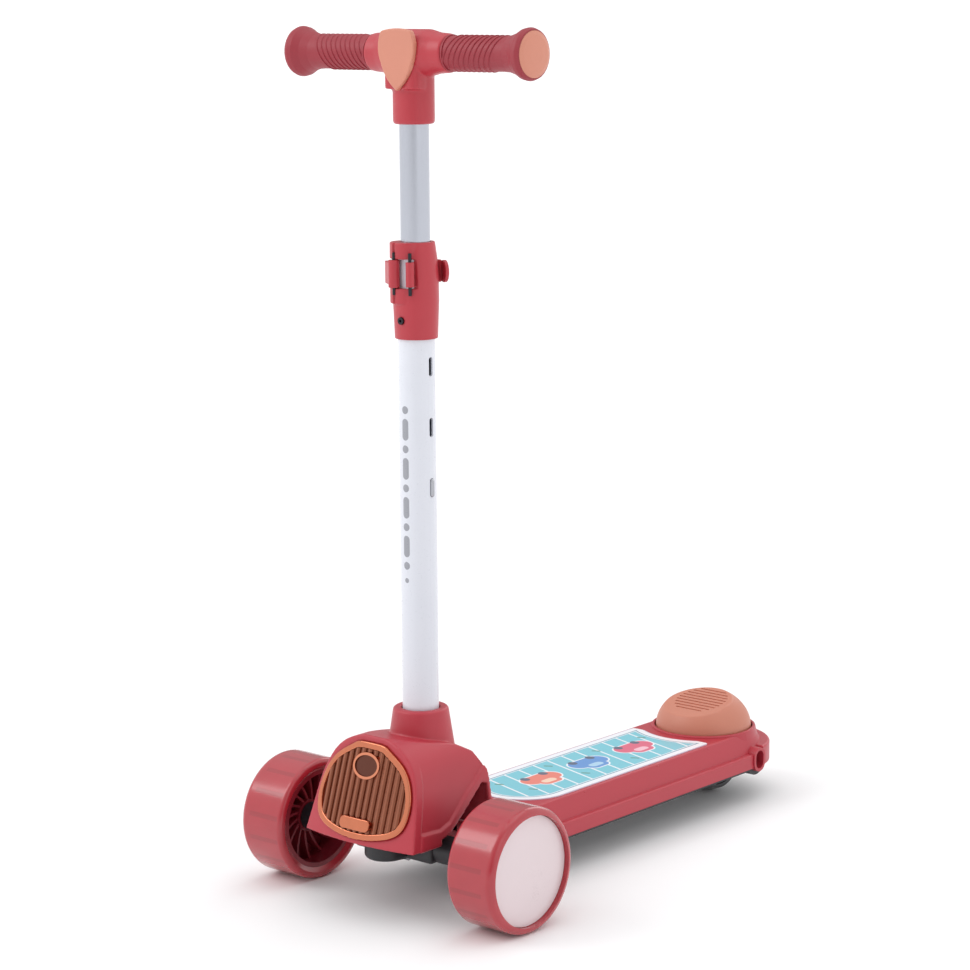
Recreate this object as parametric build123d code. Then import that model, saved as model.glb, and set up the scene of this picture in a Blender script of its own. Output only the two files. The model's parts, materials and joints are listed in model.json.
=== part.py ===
# Child's three-wheel kick scooter, modelled as separate pieces.
# Frame: X across (left-hand wheel on +X), front faces -Y, +Z up, origin on the ground under the
# middle of the outline. Millimetres.
import os
from math import cos, degrees, radians, sin

from build123d import *

# ---------------------------------------------------------------- driving dimensions
front_axle_y = -221.5
front_wheel_r = 55.0
front_wheel_width = 50.2
wheel_track = 244.6
rear_axle_y = 225.0
rear_wheel_r = 40.0
rear_wheel_width = 40.0
eye_z = 41.5
bearing_r = 11.0
bearing_width = 7.0
axle_r = 4.0
running_gap = 0.05

stem_y = -196.5
outer_tube_r = 16.0
outer_tube_wall = 1.8
inner_tube_r = 12.7
inner_tube_wall = 1.2
outer_tube_bottom = 85.0
outer_tube_top = 566.0
stem_bolt_z = 106.0
inner_tube_bottom = 326.0
slot_low_z = 366.0
slot_pitch = 52.5
slot_height = 16.6
slot_width = 4.6

collar_bottom = 494.6
collar_top = 577.3
lever_z = 551.0

bar_z = 736.0
bar_half = 132.2
socket_bottom = 676.5

kingpin_y = front_axle_y - 4
kingpin_z = 58.0
kingpin_tilt = 35.0

deck_front = -177.0
deck_flange_half = 65.0
flange_low = 34.0
flange_top = 47.6
deck_top = 65.7
deck_base_half = 59.0
deck_taper = 27.0
deck_wall = 2.5
dome_y = 221.8
dome_r = 47.1
well_r = 48.7
hinge_y = 166.0
hinge_z = 56.0

grille_z = 84.0
grille_lean = 0.32
grille_bow = 280.0
shroud_wall = 2.6

# the front of the shroud stands this far ahead of the origin at the height grille_z
grille_y = front_axle_y - 58.5

os.makedirs("parts", exist_ok=True)
written = []


# ---------------------------------------------------------------- small helpers
def save(name, *solids):
    """Writes one node, as a single solid or as a group of separate ones."""
    shapes = [s for item in solids for s in item.solids()]
    export_step(shapes[0] if len(shapes) == 1 else Compound(shapes), f"parts/{name}.step")
    written.append(Compound(shapes))


def box(x0, x1, y0, y1, z0, z1):
    centre = ((x0 + x1) / 2, (y0 + y1) / 2, (z0 + z1) / 2)
    return Pos(*centre) * Box(x1 - x0, y1 - y0, z1 - z0)


def rod_x(r, x0, x1, y=0.0, z=0.0):
    return Pos((x0 + x1) / 2, y, z) * Rot(0, 90, 0) * Cylinder(r, x1 - x0)


def rod_y(r, y0, y1, x=0.0, z=0.0):
    return Pos(x, (y0 + y1) / 2, z) * Rot(90, 0, 0) * Cylinder(r, y1 - y0)


def rod_z(r, z0, z1, x=0.0, y=0.0):
    return Pos(x, y, (z0 + z1) / 2) * Cylinder(r, z1 - z0)


def ring_x(outer, inner, x0, x1, y=0.0, z=0.0):
    return rod_x(outer, x0, x1, y, z) - rod_x(inner, x0 - 1, x1 + 1, y, z)


def ring_z(outer, inner, z0, z1, x=0.0, y=0.0):
    return rod_z(outer, z0, z1, x, y) - rod_z(inner, z0 - 1, z1 + 1, x, y)


def hex_x(across, x0, x1, y, z):
    return Pos(x0, y, z) * Rot(0, 90, 0) * extrude(RegularPolygon(across / 2, 6, major_radius=False), x1 - x0)


def hex_z(across, z0, z1, x, y):
    return Pos(x, y, z0) * extrude(RegularPolygon(across / 2, 6, major_radius=False), z1 - z0)


def turned_x(points, y=0.0, z=0.0):
    """A body of revolution about a line along X, from (x, radius) points."""
    outline = make_face(Polyline([(x, r) for x, r in points], close=True))
    body = revolve(outline, Axis.X)
    return Pos(0, y, z) * body


def prism_x(points, x0, x1):
    """A prism along X from a closed (y, z) outline."""
    face = make_face(Polyline(points, close=True))
    return Pos(x0, 0, 0) * extrude(Plane.YZ * face, x1 - x0)


def on_kingpin(shape):
    """Places a shape built along Z round the origin on the leaning kingpin axis."""
    return Pos(0, kingpin_y, kingpin_z) * Rot(kingpin_tilt, 0, 0) * shape


def front_tyre(side):
    half = front_wheel_width / 2
    middle = wheel_track / 2
    bore = 45.0
    shape = turned_x(
        [
            (middle - half, 49.0),
            (middle - half, front_wheel_r),
            (middle + half, front_wheel_r),
            (middle + half, 48.4),
            (middle + half - 5.6, 48.4),
            (middle + half - 5.6, bore),
            (middle - half + 3.0, bore),
        ]
    )
    outer_edges = edges_by_radius(shape, front_wheel_r).sort_by(Axis.X)
    shape = fillet(outer_edges[-1], 6.2)
    shape = fillet(edges_by_radius(shape, front_wheel_r).sort_by(Axis.X)[0], 4.6)
    if side < 0:
        shape = Rot(0, 0, 180) * shape
    return Pos(0, front_axle_y, front_wheel_r) * shape


def edges_by_radius(shape, r):
    """Circular edges of the given radius."""
    circles = [e for e in shape.edges() if e.geom_type == GeomType.CIRCLE]
    return ShapeList([e for e in circles if abs(e.radius - r) < 0.02])


def spoke(angle, x0, x1, r0, r1, sweep):
    """One curved turbine blade between two radii."""
    thick = 2.2
    path = ThreePointArc(
        (r0, 0),
        ((r0 + r1) / 2 * cos(sweep * 0.62), (r0 + r1) / 2 * sin(sweep * 0.62)),
        (r1 * cos(sweep), r1 * sin(sweep)),
    )
    blade = extrude(trace(path, thick), x1 - x0)
    return Pos(x0, 0, 0) * Rot(0, 90, 0) * Rot(0, 0, degrees(angle)) * blade


def front_core(side):
    middle = wheel_track / 2
    blades = 16
    rim = ring_x(44.95, 40.8, middle - 22, middle + 19.4)
    hub = rod_x(14.5, middle - 8.3, middle + 12)
    web = rod_x(42.0, middle + 3, middle + 5.5)
    core = rim + hub + web
    for i in range(blades):
        core += spoke(i * radians(360 / blades), middle - 7, middle + 4, 13.0, 42.0, radians(24))
    core -= rod_x(bearing_r, middle - 9, middle - 8.3 + bearing_width)
    core -= rod_x(bearing_r, middle + 12 - bearing_width, middle + 13)
    core -= rod_x(7.0, middle - 9, middle + 13)
    if side < 0:
        core = mirror(core, Plane.YZ)
    return Pos(0, front_axle_y, front_wheel_r) * core


def front_hubcap(side):
    middle = wheel_track / 2
    face = middle + 20.5
    shape = turned_x(
        [
            (face - 4.5, 40.5),
            (face - 4.5, 38.5),
            (face - 2.2, 38.5),
            (face - 2.2, 0),
            (face + 0.6, 0),
            (face, 44.0),
            (face, 48.0),
            (face - 1.0, 48.2),
            (face - 1.0, 40.5),
        ],
    )
    if side < 0:
        shape = Rot(0, 0, 180) * shape
    return Pos(0, front_axle_y, front_wheel_r) * shape


def bearing_pair(x_low, x_high, y, z):
    bore = axle_r + running_gap
    near = ring_x(bearing_r, bore, x_low, x_low + bearing_width, y, z)
    far = ring_x(bearing_r, bore, x_high - bearing_width, x_high, y, z)
    return [near, far]


def build_front_wheel(name, side):
    middle = wheel_track / 2
    low, high = middle - 8.3, middle + 12
    if side < 0:
        low, high = -high, -low
    save(f"{name}_tyre", front_tyre(side))
    save(f"{name}_wheel_core", front_core(side))
    save(f"{name}_hubcap", front_hubcap(side))
    save(f"{name}_bearings", *bearing_pair(low, high, front_axle_y, front_wheel_r))
    spacer = ring_x(
        6.0, axle_r + running_gap, low + bearing_width, high - bearing_width, front_axle_y, front_wheel_r
    )
    save(f"{name}_bearing_spacer", spacer)


# ---------------------------------------------------------------- truck
def truck_beam():
    arm = 12.5
    end = wheel_track / 2 - 9.3
    beam = rod_x(arm, -end, end, front_axle_y, front_wheel_r)
    middle = box(-46, 46, front_axle_y - 15, front_axle_y + 14, front_wheel_r - 11.5, front_wheel_r + 8.5)
    beam += fillet(middle.edges(), 4)
    nose = rod_z(19, 44.5, 60, 0, front_axle_y - 22)
    beam += fillet(nose.edges().group_by(Axis.Z)[0], 4)
    beam += on_kingpin(rod_z(15, -13, 13))
    beam -= on_kingpin(rod_z(9, -14, -5))
    beam -= on_kingpin(rod_z(9, 5, 14))
    beam -= on_kingpin(rod_z(6.5, -6, 6))
    beam -= rod_x(axle_r, -end - 1, end + 1, front_axle_y, front_wheel_r)
    beam -= on_kingpin(rod_z(17, 13, 26))
    beam -= on_kingpin(rod_z(17, -26, -13))
    for side in (-1, 1):
        beam -= rod_z(7.2, 63.5, 80, side * 26, front_axle_y + 6)
    return beam


def front_axle():
    end = wheel_track / 2 + 17.3
    rod = rod_x(axle_r, -end, end, front_axle_y, front_wheel_r)
    kingpin_hole = on_kingpin(rod_z(9.6, -14, 12))
    return rod - kingpin_hole


def build_truck():
    save("truck_beam", truck_beam())
    bushes = []
    for low, high in ((-13, -5), (5, 13)):
        bushes.append(on_kingpin(ring_z(9, 5 + running_gap, low, high)))
    save("kingpin_bushes", *bushes)
    bumpers = []
    for side in (-1, 1):
        block = rod_z(7, 63.5, 74.0, side * 26, front_axle_y + 6)
        bumpers.append(fillet(block.edges().group_by(Axis.Z)[-1], 2))
    save("steer_bumpers", *bumpers)
    save("front_axle", *front_axle().solids())
    nuts = []
    inner = wheel_track / 2 + 12
    for side in (-1, 1):
        x0, x1 = sorted((side * inner, side * (inner + 5)))
        nut = hex_x(13, x0, x1, front_axle_y, front_wheel_r)
        nuts.append(nut - rod_x(axle_r, x0 - 1, x1 + 1, front_axle_y, front_wheel_r))
    save("front_axle_nuts", *nuts)


# ---------------------------------------------------------------- head bracket and kingpin
def head_bracket():
    wall = 3.2
    socket = rod_z(outer_tube_r + wall, 80, 118, 0, stem_y)
    boss = on_kingpin(rod_z(12, 14, 40))
    web = prism_x(
        [
            (kingpin_y - 24, 92),
            (kingpin_y - 15, 80),
            (stem_y - 17, 90),
            (stem_y, 84),
            (stem_y, 116),
            (stem_y - 17, 116),
        ],
        -5,
        5,
    )
    wings = box(-34, 34, stem_y - 14, stem_y + 12, 80, 84)
    bracket = socket + boss + web + wings
    for side in (-1, 1):
        x0, x1 = sorted((side * 11, side * 15))
        bracket += prism_x([(-190, 60), (-190, 114), (-184, 112), (-176, 104), (-175.5, 60)], x0, x1)
    bracket += box(-22, 22, -190, -90, 60, 63)
    bracket -= rod_z(outer_tube_r + running_gap, outer_tube_bottom, 160, 0, stem_y)
    bracket -= on_kingpin(rod_z(5, 10, 60))
    bracket -= on_kingpin(rod_z(10.5, 40, 60))
    for x, y in bracket_bolt_places():
        bracket -= rod_z(3.05, 55, 64, x, y)
    for side in (-1, 1):
        bracket -= rod_z(1.8, 78, 86, side * 28, stem_y - 5)
    bracket -= rod_x(3.05, -30, 30, stem_y, stem_bolt_z)
    return bracket


def bracket_bolt_places():
    return [(x, y) for x in (-18.5, 18.5) for y in (-160, -105)]


def build_head():
    save("head_bracket", head_bracket())
    bolts = []
    for x, y in bracket_bolt_places():
        bolts.append(hex_z(9, 52.5, 57.5, x, y) + rod_z(3, 57.5, 62.8, x, y))
    save("bracket_bolts", *bolts)
    bolt = rod_z(5, -21, 40) + rod_z(9, -15.4, -13.4)
    bolt += Pos(0, 0, -21.5) * extrude(RegularPolygon(8, 6, major_radius=False), 6.1)
    nut = Pos(0, 0, 40) * extrude(RegularPolygon(8, 6, major_radius=False), 6)
    save("kingpin", on_kingpin(bolt + rod_z(5, 40, 47)), on_kingpin(nut - rod_z(5, 39, 48)))
    stem_bolt = rod_x(3, -22, 23, stem_y, stem_bolt_z) + hex_x(10, 19.6, 24, stem_y, stem_bolt_z)
    save("stem_bolt", stem_bolt + hex_x(10, -24, -19.6, stem_y, stem_bolt_z))


# ---------------------------------------------------------------- head shroud and grille
def lean_offset(z):
    return grille_lean * (z - grille_z)


def leaned(face, z0, z1):
    """Extrudes a plan outline upwards along the slope of the grille."""
    rise = z1 - z0
    direction = Vector(0, grille_lean, 1)
    start = Pos(0, lean_offset(z0), z0) * face
    return extrude(start, rise * direction.length, dir=direction.normalized())


def shroud_outline(bottom, inset):
    """Front outline of the shroud: straight flared flanks below an arched top, symmetric in X."""
    flare = (63.4 - 58.2) / (99 - 66)
    half_low = 58.2 + (99 - bottom) * flare - inset
    mid = (58.2 - inset, 99)
    crown = Spline(
        mid,
        (53.6 - inset, 120),
        (44.0 - 0.8 * inset, 138 - 0.6 * inset),
        (26.0, 151.0 - inset),
        (0, 156.5 - inset),
        (-26.0, 151.0 - inset),
        (-44.0 + 0.8 * inset, 138 - 0.6 * inset),
        (-53.6 + inset, 120),
        (-mid[0], mid[1]),
        tangents=[(-flare, 1), (-flare, -1)],
    )
    right = Line((half_low, bottom), mid)
    left = Line((-mid[0], mid[1]), (-half_low, bottom))
    base = Line((-half_low, bottom), (half_low, bottom))
    return make_face([right, crown, left, base])


def along_y(face, y0, y1):
    """Extrudes an (x, z) outline from y0 to y1."""
    placed = Pos(0, y1, 0) * (Plane.XZ * face)
    return extrude(placed, y1 - y0)


def shroud_form(inset, bottom):
    """The shroud's outer form, or the space inside it when inset is its wall."""
    back = front_axle_y + 50 - inset
    top_front = 156.5 - inset
    top_back = 142.5 - inset
    bow = Pos(0, grille_y + grille_bow) * Circle(grille_bow - inset)
    plan = bow & (Pos(0, -200) * Rectangle(160, 220))
    body = leaned(plan, bottom, 175)
    body &= along_y(shroud_outline(bottom, inset), -330, -120)
    side_view = [
        (-330, bottom),
        (back, bottom),
        (back, top_back - 26),
        (back - 10, top_back - 8),
        (back - 24, top_back),
        (front_axle_y - 40, top_front),
        (-330, top_front),
    ]
    body &= prism_x(side_view, -80, 80)
    return body


def fender_cut():
    """The space under the flared lower edge, where the truck's arms swing."""
    low = 60.0
    y0 = front_axle_y
    face = [
        (y0 - 20, low),
        (y0 - 20, 71),
        (y0 - 7, 74.5),
        (y0 + 7, 84),
        (y0 + 40, 108),
        (y0 + 46.5, 106),
        (y0 + 46.5, low),
    ]
    cut = prism_x(face, -90, -40)
    return cut + prism_x(face, 40, 90)


def grille_strip(back_offset, front_offset):
    """A leaning, bowed slab that follows the shroud's front at the given offsets."""
    centre = Pos(0, grille_y + grille_bow)
    ring = centre * Circle(grille_bow + front_offset) - centre * Circle(grille_bow + back_offset)
    return leaned(ring & (Pos(0, grille_y + 5) * Rectangle(140, 60)), 60, 165)


def grille_outline(inset):
    """Egg-shaped outline, broad and gently rounded below, arched above, drawn in from its edge."""
    low, high, widest = 70.9, 150.5, 52.7
    middle = (low + high) / 2
    wide = 1 - inset / widest
    tall = 1 - inset / (high - middle)
    flank = [(0, low), (30, 74.2), (47.5, 82.5), (widest, 97), (49.3, 119), (39.6, 134.2), (20, 147.2), (0, high)]
    right = [(x * wide, middle + (z - middle) * tall) for x, z in flank]
    left = [(-x, z) for x, z in right]
    level = [(1, 0), (-1, 0)]
    halves = [Spline(*right, tangents=level), Spline(*left, tangents=[(-1, 0), (1, 0)])]
    return make_face(halves)


def build_grille():
    pocket = along_y(grille_outline(-0.3), -330, -200) & grille_strip(-1.7, 12)
    frame_width = 5.2
    outer = along_y(grille_outline(0), -330, -200)
    inner = along_y(grille_outline(frame_width), -330, -200)
    frame = (outer - inner) & grille_strip(-1.6, 2.4)
    panel_area = along_y(grille_outline(frame_width + 0.1), -330, -200)
    slats = panel_area & grille_strip(-1.6, -0.2)
    bars = 13
    pitch = 7.0
    for i in range(bars):
        x = (i - (bars - 1) / 2) * pitch
        bow = grille_bow - (grille_bow**2 - x**2) ** 0.5
        post = leaned(Pos(x, grille_y + bow) * Ellipse(2.3, 2.4), 66, 160)
        slats += post & panel_area
    emblem_centre = 131.5
    hole = along_y(Pos(0, emblem_centre) * Ellipse(15.2, 11.2), -330, -200)
    plate = along_y(Pos(0, emblem_centre) * Ellipse(12.6, 8.6), -330, -200) & grille_strip(-1.6, 2.2)
    rim = along_y(Pos(0, emblem_centre) * Ellipse(15.0, 11.0), -330, -200)
    rim -= along_y(Pos(0, emblem_centre) * Ellipse(12.8, 8.8), -330, -200)
    rim &= grille_strip(-1.6, 3.4)
    bar_area = along_y(Pos(0, 83.5) * RectangleRounded(34, 10, 4.5), -330, -200)
    bar = bar_area & grille_strip(-1.6, 4.6)
    slats &= grille_strip(-1.6, 3.0)
    slats -= hole
    slats -= along_y(Pos(0, 83.5) * RectangleRounded(34.4, 10.4, 4.7), -330, -200)
    save("grille_frame", frame)
    save("grille_slats", slats)
    save("emblem", rim, plate)
    save("grille_bar", bar)
    return pocket


def build_shroud(pocket):
    bottom = 66.1
    outer = shroud_form(0, bottom)
    inner = shroud_form(shroud_wall, bottom - 5)
    neck = Pos(0, stem_y, 132) * loft([Circle(30.0), Pos(0, 0, 38.2) * Circle(24.2)])
    neck = fillet(neck.edges().group_by(Axis.Z)[-1], 2.6)
    shroud = outer + neck
    shroud -= inner
    shroud -= Pos(0, stem_y, 130) * loft([Circle(26.5), Pos(0, 0, 34) * Circle(20.6)])
    shroud -= rod_z(outer_tube_r + 1.0, 120, 180, 0, stem_y)
    shroud -= fender_cut()
    for side in (-1, 1):
        post = rod_z(4, 84.15, 146, side * 28, stem_y - 5)
        shroud += post & shroud_form(0.5, 70)
        shroud -= rod_z(1.5, 80, 96, side * 28, stem_y - 5)
    backing = (along_y(grille_outline(-3), -330, -200) & grille_strip(-4.2, -1.7)) & outer
    shroud += backing
    shroud -= pocket
    save("head_shroud", shroud)
    screws = []
    for side in (-1, 1):
        x, y = side * 28, stem_y - 5
        screws.append(rod_z(3.5, 77.8, 80, x, y) + rod_z(1.5, 80, 94, x, y))
    save("shroud_screws", *screws)


# ---------------------------------------------------------------- deck
def deck_plan(half, front, nose):
    """Deck outline: straight sides, a half-round tail and a rounded front end."""
    straight = Pos(0, (front + dome_y) / 2) * Rectangle(2 * half, dome_y - front)
    straight = fillet(straight.vertices().group_by(Axis.Y)[0], nose)
    return straight + Pos(0, dome_y) * Circle(half)


def deck_form(inset, low, top, rounding):
    """Sloping upper body of the deck between two heights, with a rounded upper edge."""
    slope = (deck_base_half - 49.5) / (deck_top - flange_top)
    half = deck_base_half - inset - (low - flange_top) * slope
    body = extrude(Pos(0, 0, low) * deck_plan(half, deck_front - 14, 16), top - low, taper=deck_taper)
    body = fillet(body.edges().group_by(Axis.Z)[-1], rounding)
    front = deck_plan(deck_base_half - inset, deck_front + inset, 16 - inset)
    return body & extrude(Pos(0, 0, low - 1) * front, top - low + 2)


def eye(x0, x1, grow):
    """Upright oval prism along X at the rear axle."""
    oval = SlotOverall(18 + 2 * grow, 12.2 + 2 * grow)
    face = Plane.YZ * (Pos(rear_axle_y, eye_z) * Rot(0, 0, 90) * oval)
    return Pos(x0, 0, 0) * extrude(face, x1 - x0)


def deck_cover():
    body = deck_form(0, flange_top - 1, deck_top, 3.0)
    flange = Pos(0, 0, flange_low) * extrude(
        deck_plan(deck_flange_half, deck_front, 18), flange_top - flange_low
    )
    flange = fillet(flange.edges().group_by(Axis.Z)[-1], 1.6)
    cover = body + flange
    tail = Pos(0, 0, flange_low) * extrude(Pos(0, dome_y) * Circle(deck_flange_half + 0.6), 19)
    tail &= box(-70, 70, rear_axle_y + 8, 300, 20, 60)
    tail = fillet(tail.edges().group_by(Axis.Z)[-1], 2.0)
    cover += tail
    lip = Pos(0, dome_y, 58) * loft([Circle(53.4), Pos(0, 0, 9.6) * Circle(51.2)])
    cover += fillet(lip.edges().group_by(Axis.Z)[-1], 1.0)
    cavity = Pos(0, 0, flange_low - 1) * extrude(
        deck_plan(deck_flange_half - deck_wall, deck_front + deck_wall, 15.5), flange_top - deck_wall - 33
    )
    cavity += deck_form(deck_wall, 44, deck_top - deck_wall, 1.0)
    cover -= cavity
    cover += ring_z(well_r + 2.4, well_r, 50, 66, 0, dome_y) & box(-70, 70, 120, 300, 40, 80)
    cover -= rod_z(well_r, 30, 80, 0, dome_y)
    cover -= box(-16, 16, 160, dome_y, 30, 62.6)
    cover -= box(-23.5, 23.5, deck_front - 5, deck_front + 5.2, 56, 70)
    for side in (-1, 1):
        x0, x1 = sorted((side * 50, side * 66.5))
        cover += eye(x0, x1, 2.9)
        y0, y1 = sorted((side * 49, side * 68))
        cover -= eye(y0, y1, 0)
    for x, y in deck_screw_places():
        cover += rod_z(4.2, 34.2, deck_top - 1.5, x, y)
        cover -= rod_z(1.6, 30, 52, x, y)
    return cover


def deck_screw_places():
    return [(side * 47, y) for side in (-1, 1) for y in (-140, -30, 80, 160)]


def deck_base():
    plan = deck_plan(deck_flange_half - deck_wall - 0.4, deck_front + 3, 15)
    base = Pos(0, 0, 31) * extrude(plan, 3)
    inner = deck_plan(deck_flange_half - deck_wall - 2.6, deck_front + 5.2, 13)
    base += Pos(0, 0, 33) * (extrude(plan, 7) - extrude(inner, 7))
    for side in (-1, 1):
        x0, x1 = sorted((side * 38, side * 61.8))
        lug = rod_x(14.5, x0, x1, rear_axle_y, rear_wheel_r)
        base += lug & box(-70, 70, 150, 300, 20, 34)
        base -= eye(x0 - 5, x1 + 5, 3.2)
    opening = Pos(0, rear_axle_y, 20) * extrude(RectangleRounded(52, 98, 6), 40)
    opening += box(-36.5, 36.5, rear_axle_y - 9, rear_axle_y + 9, 20, 60)
    base -= opening
    for x, y in deck_screw_places():
        base -= rod_z(1.9, 20, 40, x, y)
        base -= rod_z(3.6, 20, 32.2, x, y)
    return base


def deck_frame():
    wall_low, wall_high = 34.5, 60.0
    side_view = [
        (-168, wall_low + 12),
        (-150, wall_low),
        (246, wall_low),
        (246, 48),
        (178, 48),
        (170, wall_high),
        (-168, wall_high),
    ]
    frame = prism_x(side_view, -29, -26.2) + prism_x(side_view, 26.2, 29)
    frame += box(-29, 29, -168, 152, wall_high - 2.5, wall_high)
    frame -= rod_x(axle_r, -40, 40, rear_axle_y, rear_wheel_r)
    frame -= rod_x(2.5, -40, 40, hinge_y, hinge_z)
    for x, y in bracket_bolt_places():
        frame -= rod_z(3.05, 50, 70, x, y)
    for y in (-60, 10, 80):
        frame -= rod_z(14, 50, 70, 0, y)
    return frame


def pad_plan(inset):
    """Printed pad: half-round front, straight sides and a hollow rear edge round the dome."""
    half = 46.2 - inset
    tail = front_axle_y + 389 - inset
    nose_y = front_axle_y + 165
    plan = Pos(0, nose_y) * Circle(half)
    plan += Pos(0, (nose_y + tail) / 2) * Rectangle(2 * half, tail - nose_y)
    plan -= Pos(0, dome_y) * Circle(63 + inset)
    corners = plan.vertices().group_by(Axis.Y)[-1]
    return fillet(corners, 4)


def build_deck():
    save("deck_cover", deck_cover())
    save("deck_base", deck_base())
    save("deck_frame", deck_frame())
    save("foot_pad", Pos(0, 0, deck_top) * extrude(pad_plan(0), 0.8))
    screws = []
    for x, y in deck_screw_places():
        screws.append(rod_z(3.4, 29.8, 32.1, x, y) + rod_z(1.5, 32.1, 50, x, y))
    save("deck_screws", *screws)


# ---------------------------------------------------------------- rear wheel and brake
def rear_tyre():
    half = rear_wheel_width / 2
    shoulder = 34.0
    tread = ThreePointArc((-half, shoulder + 1), (0, rear_wheel_r), (half, shoulder + 1))
    sides = Polyline(
        (half, shoulder + 1), (half, 31.5), (half - 1.5, 30.0), (-half + 1.5, 30.0), (-half, 31.5), (-half, shoulder + 1)
    )
    return Pos(0, rear_axle_y, rear_wheel_r) * revolve(make_face([tread, sides]), Axis.X)


def rear_core():
    half = rear_wheel_width / 2
    core = ring_x(29.95, 26, -half + 1.5, half - 1.5) + rod_x(15, -half + 1, half - 1) + rod_x(27, -3, 3)
    for i in range(6):
        blade = box(-half + 6, half - 6, -1.6, 1.6, 12, 27)
        core += Rot(60 * i, 0, 0) * blade
    core -= rod_x(bearing_r, -half, -half + 1 + bearing_width)
    core -= rod_x(bearing_r, half - 1 - bearing_width, half)
    core -= rod_x(7, -half, half)
    return Pos(0, rear_axle_y, rear_wheel_r) * core


def build_rear_wheel():
    low, high = -rear_wheel_width / 2 + 1, rear_wheel_width / 2 - 1
    save("rear_tyre", rear_tyre())
    save("rear_wheel_core", rear_core())
    save("rear_bearings", *bearing_pair(low, high, rear_axle_y, rear_wheel_r))
    spacer = ring_x(
        6.0, axle_r + running_gap, low + bearing_width, high - bearing_width, rear_axle_y, rear_wheel_r
    )
    save("rear_bearing_spacer", spacer)
    axle = rod_x(axle_r, -35.4, 35.4, rear_axle_y, rear_wheel_r)
    axle += hex_x(13, 29, 34, rear_axle_y, rear_wheel_r)
    nut = hex_x(13, -34, -29, rear_axle_y, rear_wheel_r) - rod_x(axle_r, -40, 0, rear_axle_y, rear_wheel_r)
    bushes = []
    for side in (-1, 1):
        x0, x1 = sorted((side * high, side * 26.2))
        bushes.append(ring_x(6.5, axle_r, x0, x1, rear_axle_y, rear_wheel_r))
    save("rear_axle", axle)
    save("rear_axle_nut", nut)
    save("rear_axle_bushes", *bushes)


def dome_profile(r, base, height):
    """Half section of the dome: an upright skirt under an elliptic crown."""
    skirt = Line((0, base), (r, base))
    wall = Line((r, base), (r, 66))
    crown = EllipticalCenterArc((0, 66), r, height, arc_size=90)
    axis = Line((0, 66 + height), (0, base))
    return make_face([skirt, wall, crown, axis])


def brake_pedal():
    wall = 2.6
    outer = revolve(Plane.XZ * dome_profile(dome_r, 58, 38), Axis.Z)
    inner = revolve(Plane.XZ * dome_profile(dome_r - wall, 57, 38 - wall), Axis.Z)
    tread = Pos(0, -3.7, 92.5) * Rot(12.7, 0, 0)
    outer -= tread * Pos(0, 0, 30) * Box(120, 120, 60)
    outer = fillet(outer.edges().group_by(Axis.Z)[-1], 2.5)
    inner -= tread * Pos(0, 0, 30 - wall) * Box(120, 120, 60)
    pedal = outer - inner
    grooves = 9
    for i in range(grooves):
        y = (i - (grooves - 1) / 2) * 5.4
        reach = (26.5**2 - y**2) ** 0.5
        groove = RectangleRounded(2 * reach, 1.8, 0.85)
        pedal -= tread * (Pos(0, y, -1.0) * extrude(groove, 3))
    pedal = Pos(0, dome_y, 0) * pedal
    tongue = box(-14, 14, hinge_y, dome_y - dome_r + 2.2, 54, 61)
    tongue += rod_x(5, -14, 14, hinge_y, hinge_z)
    pedal += tongue
    pedal -= rod_x(2.5 + running_gap, -15, 15, hinge_y, hinge_z)
    post = box(-9, 9, rear_axle_y - 12, rear_axle_y + 12, 88.2, 99)
    inside = Pos(0, dome_y, 0) * inner
    return pedal + (post & inside)


def build_brake():
    save("brake_pedal", brake_pedal())
    pad = box(-12, 12, rear_axle_y - 12, rear_axle_y + 14, 85.2, 88.2)
    save("brake_pad", pad)
    save("brake_pin", rod_x(2.5, -30.5, 30.5, hinge_y, hinge_z))
    coil = []
    for side in (-1, 1):
        x0, x1 = sorted((side * 15, side * 24))
        coil.append(ring_x(4.4, 2.9, x0, x1, hinge_y, hinge_z))
    save("brake_springs", *coil)


# ---------------------------------------------------------------- stem and clamp
def slot_places():
    return [slot_low_z + i * slot_pitch for i in range(3)]


def build_stem():
    tube = ring_z(outer_tube_r, outer_tube_r - outer_tube_wall, outer_tube_bottom, outer_tube_top, 0, stem_y)
    for z in slot_places():
        slot = SlotOverall(slot_height, slot_width)
        face = Plane.YZ * (Pos(stem_y, z) * Rot(0, 0, 90) * slot)
        tube -= extrude(face, 30)
    tube -= rod_x(3.05, -30, 30, stem_y, stem_bolt_z)
    tube -= rod_y(1.6, stem_y - 30, stem_y, 0, 511)
    save("outer_tube", tube)
    inside = outer_tube_r - outer_tube_wall - 0.02
    bush = ring_z(inside, inner_tube_r + 0.08, 538, outer_tube_top, 0, stem_y)
    bush += ring_z(outer_tube_r, inner_tube_r + 0.08, outer_tube_top, outer_tube_top + 2, 0, stem_y)
    bush -= box(-0.8, 0.8, stem_y, stem_y + 30, 500, 600)
    save("guide_bush", bush)


def collar_outline_solid():
    """Collar body: a cone up to the widest band, then a taper to the mouth."""
    profile = Polyline(
        (0, collar_bottom),
        (18.5, collar_bottom),
        (19.8, 527),
        (19.6, 545),
        (18.6, 563),
        (16.6, collar_top),
        (0, collar_top),
        close=True,
    )
    collar = Pos(0, stem_y, 0) * revolve(Plane.XZ * make_face(profile), Axis.Z)
    ears = rod_z(16.5, 525, collar_top, -3, stem_y - 5)
    ears = fillet(ears.edges(), 1.2)
    return collar + ears


def clamp_pivot():
    return -6.0, stem_y - 20.9


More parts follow.
